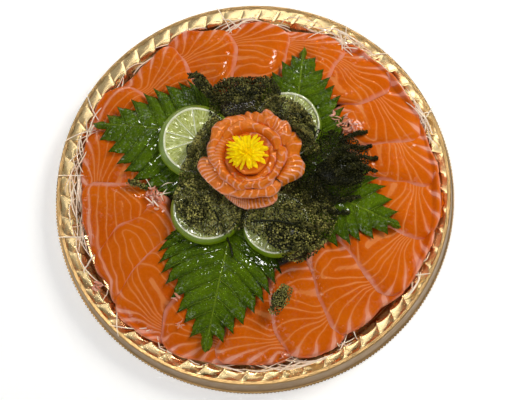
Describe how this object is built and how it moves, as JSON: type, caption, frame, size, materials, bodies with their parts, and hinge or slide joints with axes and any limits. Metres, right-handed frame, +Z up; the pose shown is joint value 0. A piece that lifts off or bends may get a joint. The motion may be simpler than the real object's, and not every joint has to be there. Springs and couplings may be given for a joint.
{
  "type": "sashimi plate",
  "caption": "Round fluted party tray with shingled salmon slices, a salmon rose with a yellow flower, lime slices, toothed leaves and sea grapes on shredded radish.",
  "frame": {"origin": "centre of the circle that the tray stands on, at the height of the surface below it", "axes": "+Z up out of the tray; +Y from the middle towards the salmon rose; +X to the right of it"},
  "size_m": [0.3, 0.3, 0.053],
  "materials": {
    "gold": "gold metallised, glossy",
    "radish": "moist, translucent white",
    "salmon": "moist raw fish with pale fat lines",
    "leaf": "veined leaf, moist",
    "lime": "cut fruit with green rind",
    "sea_grape": "wet translucent green beads",
    "flower": "soft yellow petals"
  },
  "bodies": {
    "root": {"tray": "gold", "daikon_bed": "radish", "salmon_slice_01": "salmon", "salmon_slice_02": "salmon", "salmon_slice_03": "salmon", "salmon_slice_04": "salmon", "salmon_slice_05": "salmon", "salmon_slice_06": "salmon", "salmon_slice_07": "salmon", "salmon_slice_08": "salmon", "salmon_slice_09": "salmon", "salmon_slice_10": "salmon", "salmon_slice_11": "salmon", "salmon_slice_12": "salmon", "salmon_slice_13": "salmon", "salmon_slice_14": "salmon", "salmon_slice_15": "salmon", "salmon_slice_16": "salmon", "salmon_slice_17": "salmon", "salmon_slice_18": "salmon", "salmon_scrap": "salmon", "shiso_leaf_1": "leaf", "shiso_leaf_2": "leaf", "shiso_leaf_3": "leaf", "shiso_leaf_4": "leaf", "lime_slice_1": "lime", "lime_slice_2": "lime", "lime_slice_3": "lime", "lime_slice_4": "lime", "rose_core": "salmon", "rose_petal_01": "salmon", "rose_petal_02": "salmon", "rose_petal_03": "salmon", "rose_petal_04": "salmon", "rose_petal_05": "salmon", "rose_petal_06": "salmon", "rose_petal_07": "salmon", "rose_petal_08": "salmon", "rose_petal_09": "salmon", "rose_petal_10": "salmon", "chrysanthemum": "flower", "sea_grapes_1": "sea_grape", "sea_grapes_2": "sea_grape", "sea_grapes_3": "sea_grape", "sea_grapes_4": "sea_grape", "sea_grapes_5": "sea_grape", "sea_grapes_6": "sea_grape", "sea_grapes_7": "sea_grape", "sea_grapes_8": "sea_grape"}
  },
  "joints": []
}
